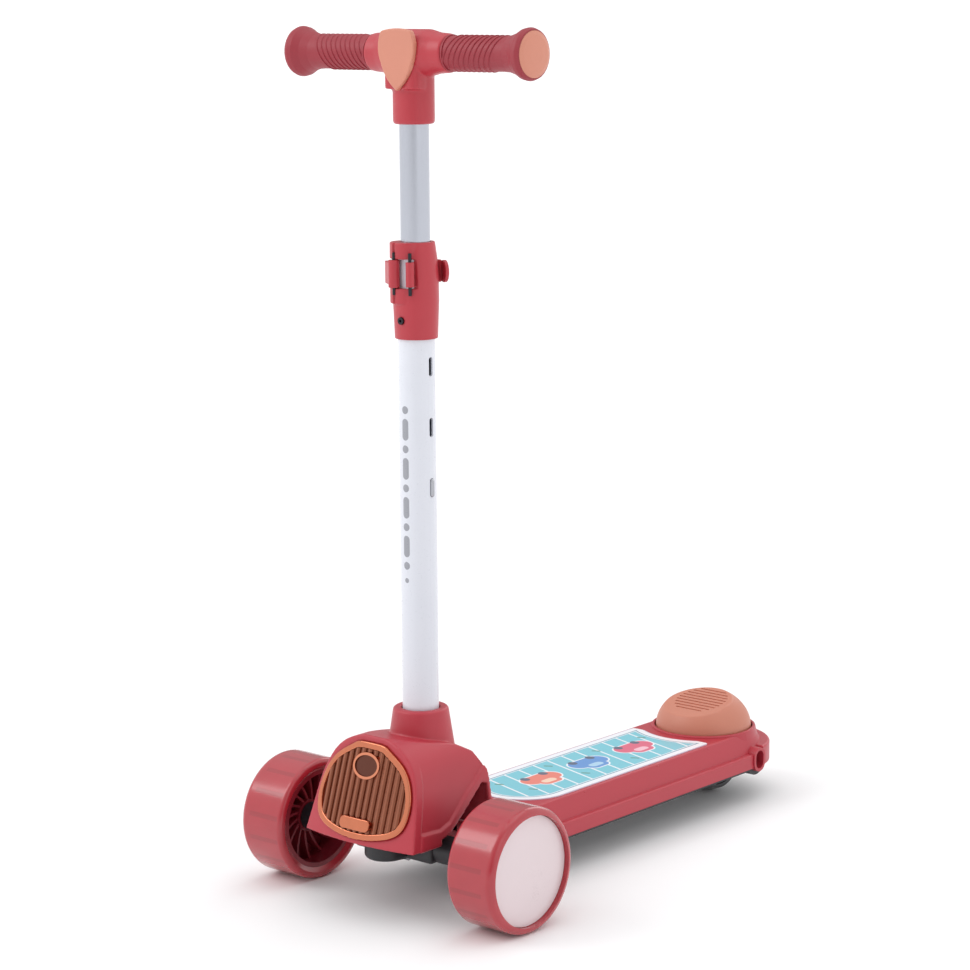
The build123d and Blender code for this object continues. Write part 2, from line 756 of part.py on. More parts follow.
def build_clamp():
    pivot_x, pivot_y = clamp_pivot()
    collar = collar_outline_solid()
    collar -= rod_z(outer_tube_r + 0.03, collar_bottom - 1, outer_tube_top + 2.05, 0, stem_y)
    collar -= rod_z(inner_tube_r + 0.5, 560, 600, 0, stem_y)
    window = box(-40, 15.5, stem_y - 40, stem_y - 13.2, lever_z - 12.4, lever_z + 12.4)
    window += box(-40, -12, stem_y - 20, stem_y - 7, lever_z - 12.4, lever_z + 12.4)
    collar -= window
    collar -= rod_z(1.53, 500, 600, pivot_x, pivot_y)
    collar -= rod_z(1.53, 500, 600, 10.5, stem_y - 19.0)
    collar -= rod_y(1.6, stem_y - 30, stem_y, 0, 511)
    collar -= rod_y(3.3, stem_y - 30, stem_y - 18.4, 0, 511)
    save("clamp_collar", collar)
    screw = rod_y(3.1, stem_y - 20.4, stem_y - 18.4, 0, 511) + rod_y(1.5, stem_y - 18.4, stem_y - 14, 0, 511)
    save("clamp_screw", screw - rod_y(1.2, stem_y - 22, stem_y - 19.2, 0, 511))
    pins = [
        rod_z(1.5, 533, 569, pivot_x, pivot_y),
        rod_z(1.5, 533, 569, 10.5, stem_y - 19.0),
    ]
    save("clamp_pins", *pins)
    barrel = ring_z(3.6, 1.53, lever_z - 10.4, lever_z + 10.4, 10.5, stem_y - 19.0)
    save("clamp_barrel_nut", barrel)
    save("clamp_lever", clamp_lever())


def clamp_lever():
    """Cam barrel in front and a curved arm that lies round the collar, with a flared thumb tip."""
    pivot_x, pivot_y = clamp_pivot()
    low, high = lever_z - 9.6, lever_z + 9.6
    arm = ring_z(24.6, 21.2, low, high, 0, stem_y) & box(-40, 9, stem_y - 12, stem_y + 40, low, high)
    neck_plan = [(-24.2, stem_y - 12.5), (-20, stem_y - 9), (-9, stem_y - 18), (-7, stem_y - 25.4)]
    arm += prism_z(neck_plan, low, high)
    arm += Pos(13.5, stem_y + 21.6, lever_z) * Rot(0, 0, -32) * Rot(90, 0, 0) * Cylinder(9.6, 3.2)
    arm -= rod_z(21.2, low - 5, high + 5, 0, stem_y)
    lever = arm + rod_z(4.9, lever_z - 11.8, lever_z + 11.8, pivot_x, pivot_y)
    lever -= rod_z(1.5 + running_gap, 500, 600, pivot_x, pivot_y)
    return lever


def prism_z(points, z0, z1):
    """An upright prism from a closed (x, y) outline."""
    return Pos(0, 0, z0) * extrude(make_face(Polyline(points, close=True)), z1 - z0)


# ---------------------------------------------------------------- handlebar
def tee_housing():
    socket = rod_z(17.8, socket_bottom, bar_z - 4, 0, stem_y)
    socket = fillet(socket.edges().group_by(Axis.Z)[0], 2.5)
    barrel = turned_x(
        [(-43, 0), (-43, 16.2), (-30, 17.2), (-19, 19.8), (19, 19.8), (30, 17.2), (43, 16.2), (43, 0)],
        stem_y,
        bar_z,
    )
    front = box(-18, 18, stem_y - 19.6, stem_y, 706, bar_z + 15)
    tee = barrel + socket + fillet(front.edges().filter_by(Axis.Z), 6)
    tee -= rod_z(inner_tube_r + 0.02, socket_bottom - 1, bar_z - 9, 0, stem_y)
    tee -= rod_x(11.05, -50, 50, stem_y, bar_z)
    tee -= rod_y(2.0, stem_y + 10, stem_y + 30, 0, 694)
    tee -= badge_solid(0.15)
    return tee


def badge_solid(grow):
    """Blank shield with a broad top and a pointed foot."""
    half, top, foot = 19.6 + grow, bar_z + 20.6 + grow, 705.0 - grow
    edge = make_face(
        [
            ThreePointArc((-half + 3, top - 2.2), (0, top), (half - 3, top - 2.2)),
            ThreePointArc((half - 3, top - 2.2), (half, top - 10), (half - 2.4, bar_z - 8)),
            ThreePointArc((half - 2.4, bar_z - 8), (half - 9, bar_z - 21), (0, foot)),
            ThreePointArc((0, foot), (-half + 9, bar_z - 21), (-half + 2.4, bar_z - 8)),
            ThreePointArc((-half + 2.4, bar_z - 8), (-half, top - 10), (-half + 3, top - 2.2)),
        ]
    )
    return along_y(edge, stem_y - 22.4, stem_y - 17.6)


def grip(side):
    shape = turned_x(
        [
            (43.3, 11.2),
            (43.3, 15.4),
            (45.0, 15.4),
            (45.0, 14.6),
            (102, 14.6),
            (110, 15.2),
            (118, 17.6),
            (124.5, 21.0),
            (128.6, 21.8),
            (bar_half - 0.6, 20.6),
            (bar_half, 19.4),
            (bar_half - 4, 19.4),
            (bar_half - 4, 11.2),
        ]
    )
    shape = fillet(edges_by_radius(shape, 21.8), 2.5)
    shape -= rod_x(11.2, 40, bar_half - 3, 0, 0)
    if side < 0:
        shape = Rot(0, 0, 180) * shape
    return Pos(0, stem_y, bar_z) * shape


def end_cap(side):
    shape = turned_x(
        [
            (bar_half - 12, 0),
            (bar_half - 12, 9.6),
            (bar_half - 3.9, 9.6),
            (bar_half - 3.9, 19.2),
            (bar_half + 0.3, 19.2),
            (bar_half + 1.8, 15.5),
            (bar_half + 2.6, 8),
            (bar_half + 2.8, 0),
        ]
    )
    if side < 0:
        shape = Rot(0, 0, 180) * shape
    return Pos(0, stem_y, bar_z) * shape


def build_handlebar():
    tube = ring_z(inner_tube_r, inner_tube_r - inner_tube_wall, inner_tube_bottom, bar_z - 11.2, 0, stem_y)
    tube -= rod_x(4.5, 0, 30, stem_y, slot_low_z)
    tube -= box(0, 30, stem_y - 2.2, stem_y + 2.2, slot_low_z - 8.1, slot_low_z + 8.1)
    tube -= rod_y(2.0, stem_y, stem_y + 30, 0, 694)
    save("inner_tube", tube)
    plug = ring_z(outer_tube_r - outer_tube_wall - 0.1, 8.0, 320, inner_tube_bottom, 0, stem_y)
    plug += ring_z(inner_tube_r - inner_tube_wall - 0.02, 8.0, 325, 342, 0, stem_y)
    save("tube_plug", plug)
    save("tee_housing", tee_housing())
    bar = ring_x(11.0, 9.7, -bar_half + 4.2, bar_half - 4.2, stem_y, bar_z)
    save("crossbar", bar)
    for name, side in (("left", 1), ("right", -1)):
        save(f"{name}_grip", grip(side))
        save(f"{name}_end_cap", end_cap(side))
    save("badge", badge_solid(0))
    screw = rod_y(3.4, stem_y + 17.9, stem_y + 20, 0, 694) + rod_y(1.95, stem_y + 11.6, stem_y + 17.9, 0, 694)
    save("tee_screw", screw)
    catch = box(4.5, 18.4, stem_y - 2.0, stem_y + 2.0, slot_low_z - 7.9, slot_low_z + 7.9)
    catch = fillet(catch.edges().filter_by(Axis.X), 1.8)
    top_edge = catch.edges().filter_by(Axis.Y).group_by(Axis.X)[-1].sort_by(Axis.Z)[-1]
    catch = chamfer(top_edge, 1.6)
    save("height_catch", catch)
    spring = ring_x(3.2, 2.3, -10.9, 4.4, stem_y, slot_low_z)
    save("catch_spring", spring)


# ---------------------------------------------------------------- the whole scooter
build_front_wheel("left", 1)
build_front_wheel("right", -1)
build_truck()
build_head()
grille_pocket = build_grille()
build_shroud(grille_pocket)
build_deck()
build_rear_wheel()
build_brake()
build_stem()
build_clamp()
build_handlebar()

whole = Compound(written).bounding_box()
print("nodes", len(written), "box", whole.min, whole.max)
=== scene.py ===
import json
from math import cos, pi, radians, sin, tan

import bpy
from mathutils import Matrix, Vector


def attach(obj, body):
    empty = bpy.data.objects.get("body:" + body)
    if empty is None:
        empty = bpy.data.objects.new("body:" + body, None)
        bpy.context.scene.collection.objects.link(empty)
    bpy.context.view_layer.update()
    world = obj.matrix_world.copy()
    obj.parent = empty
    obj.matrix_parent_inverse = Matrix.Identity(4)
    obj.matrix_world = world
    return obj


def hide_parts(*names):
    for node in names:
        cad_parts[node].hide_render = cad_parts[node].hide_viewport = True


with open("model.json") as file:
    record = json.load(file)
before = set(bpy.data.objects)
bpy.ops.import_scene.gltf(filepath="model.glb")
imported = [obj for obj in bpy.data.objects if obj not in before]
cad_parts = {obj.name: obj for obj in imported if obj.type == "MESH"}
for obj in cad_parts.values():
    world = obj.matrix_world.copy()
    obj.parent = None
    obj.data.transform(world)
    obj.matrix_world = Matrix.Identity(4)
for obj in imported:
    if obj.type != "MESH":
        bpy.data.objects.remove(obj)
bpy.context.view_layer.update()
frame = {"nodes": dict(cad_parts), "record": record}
nodes = frame["nodes"]
mm = 0.001
print("frame loaded:", len(nodes), "nodes")


# colours are given as they look on a screen, 0 to 255
def tone(red, green, blue):
    parts = [c / 255 for c in (red, green, blue)]
    return tuple(c / 12.92 if c <= 0.04045 else ((c + 0.055) / 1.055) ** 2.4 for c in parts) + (1.0,)


# a socket that can be used in sums
class Wire:
    def __init__(self, graph, socket):
        self.graph = graph
        self.socket = socket

    def sum(self, operation, first, second=0.0):
        return self.graph.node("ShaderNodeMath", {"operation": operation}, {0: first, 1: second})

    def __add__(self, other):
        return self.sum("ADD", self, other)

    def __radd__(self, other):
        return self.sum("ADD", other, self)

    def __sub__(self, other):
        return self.sum("SUBTRACT", self, other)

    def __rsub__(self, other):
        return self.sum("SUBTRACT", other, self)

    def __mul__(self, other):
        return self.sum("MULTIPLY", self, other)

    def __rmul__(self, other):
        return self.sum("MULTIPLY", other, self)

    def __truediv__(self, other):
        return self.sum("DIVIDE", self, other)

    def __abs__(self):
        return self.sum("ABSOLUTE", self)

    def root(self):
        return self.sum("SQRT", self)

    def low(self, other):
        return self.sum("MINIMUM", self, other)

    def high(self, other):
        return self.sum("MAXIMUM", self, other)

    def wrap(self, length):
        return self.sum("FLOORED_MODULO", self, length)

    # 1 where the value is under the edge, fading to 0 over the given width
    def under(self, edge, fade):
        ends = {"From Min": edge - fade / 2, "From Max": edge + fade / 2, "To Min": 1.0, "To Max": 0.0}
        smooth = {"interpolation_type": "SMOOTHSTEP"}
        return self.graph.node("ShaderNodeMapRange", smooth, {"Value": self, **ends})


# adds nodes to a shader or geometry tree: settings first, then socket values or links
class Graph:
    def __init__(self, tree):
        self.tree = tree

    def node(self, kind, settings=None, inputs=None, output=0):
        made = self.tree.nodes.new(kind)
        for name, value in (settings or {}).items():
            if name == "stops":
                self.fillRamp(made.color_ramp, value)
            else:
                setattr(made, name, value)
        for name, value in (inputs or {}).items():
            if isinstance(value, Wire):
                self.tree.links.new(value.socket, made.inputs[name])
            else:
                made.inputs[name].default_value = value
        return Wire(self, made.outputs[output])

    def fillRamp(self, ramp, stops):
        while len(ramp.elements) < len(stops):
            ramp.elements.new(1.0)
        for element, (place, colour) in zip(ramp.elements, stops):
            element.position = place
            element.color = colour

    def blendColours(self, factor, first, second):
        return self.node("ShaderNodeMix", {"data_type": "RGBA"}, {0: factor, 6: first, 7: second}, 2)

    def place(self, scale=(1, 1, 1)):
        coords = self.node("ShaderNodeTexCoord", output=3)
        return self.node("ShaderNodeVectorMath", {"operation": "MULTIPLY"}, {0: coords, 1: scale})

    def axes(self):
        split = self.node("ShaderNodeSeparateXYZ", None, {0: self.node("ShaderNodeTexCoord", output=3)})
        return [Wire(self, out) for out in split.socket.node.outputs]

    def noise(self, size, detail=2.0, stretch=(1, 1, 1), roughness=0.5):
        values = {"Vector": self.place(stretch), "Scale": 1 / size}
        values.update({"Detail": detail, "Roughness": roughness})
        return self.node("ShaderNodeTexNoise", None, values)


# one finish: a Principled shader whose varying sockets are wired by the caller
class Finish(Graph):
    def __init__(self, name, roughness, metallic=0.0, coat=0.0, coatRoughness=0.1, specular=0.5):
        self.material = bpy.data.materials.new(name)
        self.material.use_nodes = True
        super().__init__(self.material.node_tree)
        self.shader = self.tree.nodes["Principled BSDF"]
        fixed = {
            "Roughness": roughness,
            "Metallic": metallic,
            "Coat Weight": coat,
            "Coat Roughness": coatRoughness,
            "Specular IOR Level": specular,
        }
        for socket, value in fixed.items():
            self.shader.inputs[socket].default_value = value

    def feed(self, socket, wire):
        self.tree.links.new(wire.socket, self.shader.inputs[socket])

    def bump(self, height, distance):
        values = {"Height": height, "Strength": 1.0, "Distance": distance}
        self.feed("Normal", self.node("ShaderNodeBump", None, values))


# moulded plastic and rubber: a mottled tone, a fine spark-eroded grain and slightly uneven gloss
def moulded(name, colour, roughness=0.42, grain=0.7, depth=0.03, mottle=0.07, **shine):
    finish = Finish(name, roughness, **shine)
    clouds = finish.noise(38 * mm, 3)
    base = tone(*colour)
    dark = tuple(c * (1 - mottle) for c in base[:3]) + (1.0,)
    light = tuple(min(1.0, c * (1 + mottle)) for c in base[:3]) + (1.0,)
    finish.feed("Base Color", finish.blendColours(clouds, dark, light))
    speckle = finish.noise(grain * mm, 2)
    finish.feed("Roughness", roughness + (clouds - 0.5) * 0.12 + (speckle - 0.5) * 0.08)
    finish.bump(speckle, depth * mm)
    return finish


# metal with fine lines drawn out along one axis
def drawnMetal(name, colour, roughness, stretch=(1, 1, 0.03), depth=0.006, mottle=0.08):
    finish = Finish(name, roughness, metallic=1.0)
    lines = finish.noise(0.5 * mm, 3, stretch)
    base = tone(*colour)
    dark = tuple(c * (1 - mottle) for c in base[:3]) + (1.0,)
    finish.feed("Base Color", finish.blendColours(lines, dark, base))
    finish.feed("Roughness", roughness + (lines - 0.5) * 0.16)
    finish.bump(lines, depth * mm)
    return finish


# thin bright plating over a moulding that isn't quite flat
def plated(name, colour, roughness):
    finish = Finish(name, roughness, metallic=1.0, coat=0.3, coatRoughness=0.05)
    swirl = finish.noise(9 * mm, 2)
    base = tone(*colour)
    deep = tuple(c * 0.86 for c in base[:3]) + (1.0,)
    finish.feed("Base Color", finish.blendColours(swirl, deep, base))
    finish.feed("Roughness", roughness + (swirl - 0.5) * 0.06)
    finish.bump(swirl, 0.12 * mm)
    return finish


# cast urethane: glossy, a little cloudy, with moulded windows round the tread
def urethane(name, colour, windows):
    finish = Finish(name, 0.26, coat=0.55, coatRoughness=0.12)
    x, y, z = finish.axes()
    wheelY, wheelZ, turns = windows["centreY"], windows["centreZ"], windows["count"]
    angle = finish.node("ShaderNodeMath", {"operation": "ARCTAN2"}, {0: z - wheelZ, 1: y - wheelY})
    place = (angle * (turns / (2 * pi))).wrap(1.0)
    seam = abs(place - 0.5).under(windows["gap"], 0.03)
    across = abs(abs(x) - windows["middle"]).under(windows["halfWidth"], 1.2 * mm)
    clouds = finish.noise(26 * mm, 1)
    base = tone(*colour)
    deep = tuple(c * 0.7 for c in base[:3]) + (1.0,)
    dull = tuple(c * 0.9 for c in base[:3]) + (1.0,)
    bright = tuple(min(1.0, c * 1.08) for c in base[:3]) + (1.0,)
    body = finish.blendColours(clouds, dull, bright)
    finish.feed("Base Color", finish.blendColours(seam * across * 0.6, body, deep))
    finish.feed("Roughness", 0.18 + clouds * 0.1)
    finish.bump(seam * across * -1.0, 0.05 * mm)
    return finish


red = (178, 48, 62)
finishes = {
    "deck_red": moulded("deckRed", red, 0.4, mottle=0.05, coat=0.06, coatRoughness=0.3),
    "tee_red": moulded("teeRed", (180, 48, 60), 0.4, mottle=0.05, coat=0.08, coatRoughness=0.3),
    "grip_rubber": moulded("gripRubber", (150, 42, 54), 0.52, grain=0.5, depth=0.04),
    "black_plastic": moulded("blackPlastic", (40, 40, 44), 0.46, grain=1.1, depth=0.05),
    "bumper_rubber": moulded("bumperRubber", (34, 34, 36), 0.62),
    "natural_nylon": moulded("naturalNylon", (222, 218, 205), 0.38),
    "core_red": moulded("coreRed", (128, 30, 42), 0.3, mottle=0.12, coat=0.3),
    "pale_hubcap": moulded("paleHubcap", (222, 206, 209), 0.3, mottle=0.02, coat=0.25, coatRoughness=0.2),
    "dome_coral": moulded("domeCoral", (196, 124, 102), 0.44, mottle=0.04),
    "cap_coral": moulded("capCoral", (206, 134, 112), 0.44, mottle=0.04),
    "grille_bronze": moulded("grilleBronze", (150, 88, 64), 0.3, mottle=0.1, metallic=0.75, coat=0.3),
    "plated_steel": drawnMetal("platedSteel", (186, 188, 194), 0.34),
    "zinc_screw": drawnMetal("zincScrew", (178, 180, 186), 0.3, (1, 1, 1)),
    "dark_steel": drawnMetal("darkSteel", (58, 58, 62), 0.36, (1, 1, 1)),
    "bearing_steel": drawnMetal("bearingSteel", (196, 198, 204), 0.22, (0.05, 1, 1)),
    "spring_steel": drawnMetal("springSteel", (130, 132, 138), 0.3, (1, 1, 1)),
    "anodised_tube": drawnMetal(
        "anodisedTube", (190, 193, 202), 0.2, (1, 1, 0.05), depth=0.03, mottle=0.16
    ),
    "rose_chrome": plated("roseChrome", (206, 122, 90), 0.09),
}

frontTyre = {"centreY": -221.5 * mm, "centreZ": 55 * mm, "count": 16, "gap": 0.1}
frontTyre.update({"middle": 119 * mm, "halfWidth": 17 * mm})
rearTyre = {"centreY": 225 * mm, "centreZ": 40 * mm, "count": 1, "gap": 0.0}
rearTyre.update({"middle": 0.0, "halfWidth": 0.5 * mm})
finishes["red_urethane"] = urethane("redUrethane", (172, 40, 52), frontTyre)
finishes["black_urethane"] = urethane("blackUrethane", (44, 44, 48), rearTyre)


# distance in the plane from a short straight line, less its half-thickness
def capsule(s, t, start, end, halfThick):
    ax, ay = start
    dx, dy = end[0] - ax, end[1] - ay
    length = max(dx * dx + dy * dy, 1e-12)
    along = (((s - ax) * dx + (t - ay) * dy) / length).high(0.0).low(1.0)
    across = s - ax - along * dx
    up = t - ay - along * dy
    return (across * across + up * up).root() - halfThick


# the printed pad: white rim, blue-grey outline, pale blue field with slanted white stripes and plain shapes
padArt = {
    "half": 46.2 * mm,
    "noseY": -56.5 * mm,
    "domeY": 221.8 * mm,
    "tailRadius": 63.0 * mm,
    "field": (122, 202, 218),
    "line": (110, 160, 182),
    "rim": (246, 247, 252),
    "edge": (214, 208, 226),
    "stripePitch": 21 * mm,
    "stripeSlope": 0.3,
}


def padFinish():
    art = padArt
    finish = Finish("padPrint", 0.3, coat=0.35, coatRoughness=0.12)
    x, y, z = finish.axes()
    side = abs(x)
    ahead = (art["noseY"] - y).high(0.0)
    fromEdge = art["half"] - (side * side + ahead * ahead).root()
    toDome = y - art["domeY"]
    fromDome = (x * x + toDome * toDome).root() - art["tailRadius"]
    inset = fromEdge.low(fromDome)
    colour = finish.blendColours(inset.under(1.3 * mm, 0.4 * mm), tone(*art["rim"]), tone(*art["edge"]))
    line = abs(inset - 8.4 * mm).under(0.8 * mm, 0.4 * mm)
    colour = finish.blendColours(line, colour, tone(*art["line"]))
    inside = 1 - inset.under(10.4 * mm, 0.4 * mm)
    stripe = abs((y + x * art["stripeSlope"]).wrap(art["stripePitch"]) - art["stripePitch"] / 2)
    gap = stripe.under(1.0 * mm, 0.4 * mm)
    field = finish.blendColours(gap, tone(*art["field"]), tone(*art["rim"]))
    for place, body, window in padShapes:
        field = padShape(finish, field, x, y, place, body, window)
    for leafX, leafY in padLeaves:
        leaf = capsule(x, y, (leafX * mm, leafY * mm), ((leafX + 5) * mm, (leafY + 3) * mm), 1.6 * mm)
        field = finish.blendColours(leaf.under(0, 0.4 * mm), field, tone(96, 150, 140))
    colour = finish.blendColours(inside, colour, field)
    finish.feed("Base Color", colour)
    weave = finish.noise(0.5 * mm, 2)
    finish.feed("Roughness", 0.26 + weave * 0.1)
    finish.bump(weave, 0.012 * mm)
    return finish


# each: middle in mm, body tone, window tone
padShapes = [
    ((0, -28), (236, 128, 112), (250, 214, 190)),
    ((0, 42), (96, 150, 216), (176, 214, 240)),
    ((0, 112), (226, 98, 128), (250, 196, 210)),
]
padLeaves = [(-22, -70), (12, -62), (-26, 6), (16, 10), (-24, 76), (20, 80), (-20, 142)]


# a plain rounded block with a paler inner block and two dots
def padShape(finish, field, x, y, place, body, window):
    px, py = place[0] * mm, place[1] * mm
    outer = capsule(x, y, (px - 3 * mm, py - 13 * mm), (px - 3 * mm, py + 13 * mm), 11 * mm)
    upper = capsule(x, y, (px + 8 * mm, py - 6 * mm), (px + 8 * mm, py + 5 * mm), 8 * mm)
    form = outer.low(upper)
    field = finish.blendColours(form.under(1.6 * mm, 0.4 * mm), field, tone(246, 247, 252))
    field = finish.blendColours(form.under(0, 0.4 * mm), field, tone(*body))
    pane = capsule(x, y, (px + 7 * mm, py - 5 * mm), (px + 7 * mm, py + 4 * mm), 4.4 * mm)
    field = finish.blendColours(pane.under(0, 0.4 * mm), field, tone(*window))
    for step in (-13, 13):
        dot = capsule(x, y, (px - 12 * mm, py + step * mm), (px - 11 * mm, py + step * mm), 4.4 * mm)
        field = finish.blendColours(dot.under(0, 0.4 * mm), field, tone(86, 96, 120))
    return field


# the stem's white paint with a column of plain grey marks on its front
tubeArt = {"stemY": -196.5 * mm, "radius": 16 * mm, "grey": (150, 152, 160)}
# each: height, half-length of the upright pill, half-width
tubeMarks = [(434, 0, 3.4), (417, 6, 3.4), (400, 0, 3.4), (383, 6, 3.4), (366, 0, 3.4), (349, 6, 3.4)]
tubeMarks += [(332, 0, 3.4), (315, 6, 3.4), (298, 0, 3.4), (285, 0, 2.2)]


def tubeFinish():
    finish = Finish("whitePaint", 0.3, coat=0.4, coatRoughness=0.12)
    x, y, z = finish.axes()
    ahead = tubeArt["stemY"] - y
    turn = finish.node("ShaderNodeMath", {"operation": "ARCTAN2"}, {0: x, 1: ahead})
    around = turn * tubeArt["radius"]
    marks = None
    for height, reach, half in tubeMarks:
        form = capsule(around, z, (0, (height - reach) * mm), (0, (height + reach) * mm), half * mm)
        marks = form if marks is None else marks.low(form)
    ink = marks.under(0, 0.3 * mm)
    peel = finish.noise(1.6 * mm, 2)
    clouds = finish.noise(60 * mm, 2)
    paint = finish.blendColours(clouds, tone(214, 217, 226), tone(223, 225, 233))
    finish.feed("Base Color", finish.blendColours(ink, paint, tone(*tubeArt["grey"])))
    finish.feed("Roughness", 0.24 + peel * 0.1)
    finish.bump(peel + ink * 0.5, 0.015 * mm)
    return finish


# the nose badge: a bright rim round a dark bronze oval
badgeRim = {"centreZ": 131.5 * mm, "halfWidth": 12.7 * mm, "halfHeight": 8.7 * mm}


def noseBadgeFinish():
    finish = Finish("noseBadge", 0.14, metallic=1.0, coat=0.3)
    x, y, z = finish.axes()
    across = x / badgeRim["halfWidth"]
    up = (z - badgeRim["centreZ"]) / badgeRim["halfHeight"]
    middle = (across * across + up * up).under(1.0, 0.06)
    finish.feed("Base Color", finish.blendColours(middle, tone(216, 136, 104), tone(96, 54, 42)))
    finish.feed("Roughness", 0.13 + middle * 0.2 + finish.noise(4 * mm, 2) * 0.05)
    return finish


noseBadge = noseBadgeFinish()
finishes["pad_print"] = padFinish()
finishes["white_paint"] = tubeFinish()

slotOf = {part["node"]: part["material_slot"] for part in frame["record"]["subparts"]}


def paintNode(node):
    mesh = nodes[node].data
    mesh.materials.clear()
    mesh.materials.append(finishes[slotOf[node]].material)
    for face in mesh.polygons:
        face.material_index = 0


for nodeName in nodes:
    paintNode(nodeName)
nodes["emblem"].data.materials[0] = noseBadge.material
print("finishes:", len(finishes))


def addPiece(name, mesh, body, replaced=()):
    piece = bpy.data.objects.new(name, mesh)
    bpy.context.scene.collection.objects.link(piece)
    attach(piece, body)
    if replaced:
        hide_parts(*replaced)
    return piece


def bakeMesh(source):
    bpy.context.view_layer.update()
    seen = source.evaluated_get(bpy.context.evaluated_depsgraph_get())
    mesh = bpy.data.meshes.new_from_object(seen)
    bpy.data.objects.remove(source)
    return mesh


# a moulding with its edges melted together, from the exact solid
def softened(name, node, body, voxel, smoothing, shape=None):
    copy = bpy.data.objects.new(name + "Source", nodes[node].data.copy())
    bpy.context.scene.collection.objects.link(copy)
    weld = copy.modifiers.new("weld", "WELD")
    weld.merge_threshold = 0.01 * mm
    remesh = copy.modifiers.new("remesh", "REMESH")
    remesh.mode = "VOXEL"
    remesh.voxel_size = voxel * mm
    smooth = copy.modifiers.new("smooth", "SMOOTH")
    smooth.factor = 0.5
    smooth.iterations = smoothing
    mesh = bakeMesh(copy)
    mesh.name = name
    if shape:
        # every normal is read before any point moves
        facing = [vertex.normal.copy() for vertex in mesh.vertices]
        for vertex, normal in zip(mesh.vertices, facing):
            vertex.co = shape(vertex.co.copy(), normal)
    mesh.materials.clear()
    mesh.materials.append(finishes[slotOf[node]].material)
    for face in mesh.polygons:
        face.use_smooth = True
        face.material_index = 0
    return addPiece(name, mesh, body, [node])


# the nose: its flanks are let in behind a raised front edge and above a flared lip over the wheel
noseSides = {
    "axleY": -221.5,
    "frontY": -280.0,
    "frontZ": 84.0,
    "lean": 0.32,
    "bow": 560.0,
    "edgeWidth": 8.5,
    "lipWidth": 6.0,
    "depth": 1.7,
    "flare": 0.9,
    "topZ": 139.0,
    "lip": [
        (-60, 74.5),
        (-19, 72.4),
        (-6, 76.4),
        (7, 86.7),
        (20, 97),
        (31, 103.7),
        (40.5, 110.6),
        (60, 122),
    ],
}


def ease(value):
    held = max(0.0, min(1.0, value))
    return held * held * (3 - 2 * held)


def lipHeight(ahead):
    lip = noseSides["lip"]
    for (y0, z0), (y1, z1) in zip(lip, lip[1:]):
        if ahead <= y1:
            return z0 + (z1 - z0) * max(0.0, (ahead - y0) / (y1 - y0))
    return lip[-1][1]


def noseShape(co, normal):
    s = noseSides
    x, y, z = [c / mm for c in co]
    if abs(normal.x) < 0.35 or x * normal.x < 0 or abs(x) < 26:
        return co
    front = s["frontY"] + s["lean"] * (z - s["frontZ"]) + x * x / s["bow"]
    facing = ease((abs(normal.x) - 0.35) / 0.4)
    behindEdge = ease((y - front - s["edgeWidth"]) / 2.0)
    overLip = z - lipHeight(y - s["axleY"])
    aboveLip = ease((overLip - s["lipWidth"]) / 2.0)
    belowTop = ease((s["topZ"] - z) / 22.0)
    recess = s["depth"] * facing * behindEdge * aboveLip * belowTop
    flare = s["flare"] * facing * behindEdge * ease((s["lipWidth"] + 1.0 - overLip) / 2.0)
    return co + normal * ((flare - recess) * mm)


mouldings = [
    ("teeMoulding", "tee_housing", "handlebar", 0.9, 14, None),
    ("headMoulding", "head_shroud", "scooter", 0.95, 6, noseShape),
    ("collarMoulding", "clamp_collar", "scooter", 0.6, 3, None),
    ("leverMoulding", "clamp_lever", "lever", 0.5, 4, None),
    ("badgeMoulding", "badge", "handlebar", 0.6, 4, None),
    ("grilleRing", "grille_frame", "scooter", 0.5, 10, None),
    ("grilleHandle", "grille_bar", "scooter", 0.35, 8, None),
]
for name, node, body, voxel, smoothing, shape in mouldings:
    softened(name, node, body, voxel, smoothing, shape)
print("mouldings:", len(mouldings))


# a geometry node tree with named number inputs, wrapped as a Graph
def newGeometryTree(name, sizes):
    tree = bpy.data.node_groups.new(name, "GeometryNodeTree")
    tree.interface.new_socket("Geometry", in_out="OUTPUT", socket_type="NodeSocketGeometry")
    kinds = {int: "NodeSocketInt", float: "NodeSocketFloat", bpy.types.Material: "NodeSocketMaterial"}
    for label, value in sizes.items():
        tree.interface.new_socket(label, in_out="INPUT", socket_type=kinds[type(value)])
    graph = Graph(tree)
    entry = tree.nodes.new("NodeGroupInput")
    wires = {out.name: Wire(graph, out) for out in entry.outputs if out.name}
    return graph, wires


def closeTree(graph, geometry):
    ending = graph.tree.nodes.new("NodeGroupOutput")
    graph.tree.links.new(geometry.socket, ending.inputs[0])


def runTree(name, tree, sizes):
    holder = bpy.data.objects.new(name + "Source", bpy.data.meshes.new(name))
    bpy.context.scene.collection.objects.link(holder)
    modifier = holder.modifiers.new("build", "NODES")
    modifier.node_group = tree
    for item in tree.interface.items_tree:
        if item.in_out == "INPUT":
            modifier[item.identifier] = sizes[item.name]
    mesh = bakeMesh(holder)
    mesh.name = name
    return mesh


# slanted raised rings round the grips
gripRibs = {
    "Count": 10,
    "Start": 47.5 * mm,
    "Pitch": 5.5 * mm,
    "Radius": 14.5 * mm,
    "Thickness": 0.95 * mm,
    "Slant": tan(radians(24)),
    "Height": 736 * mm,
    "Depth": -196.5 * mm,
    "Side": 1.0,
    "Finish": finishes["grip_rubber"].material,
}


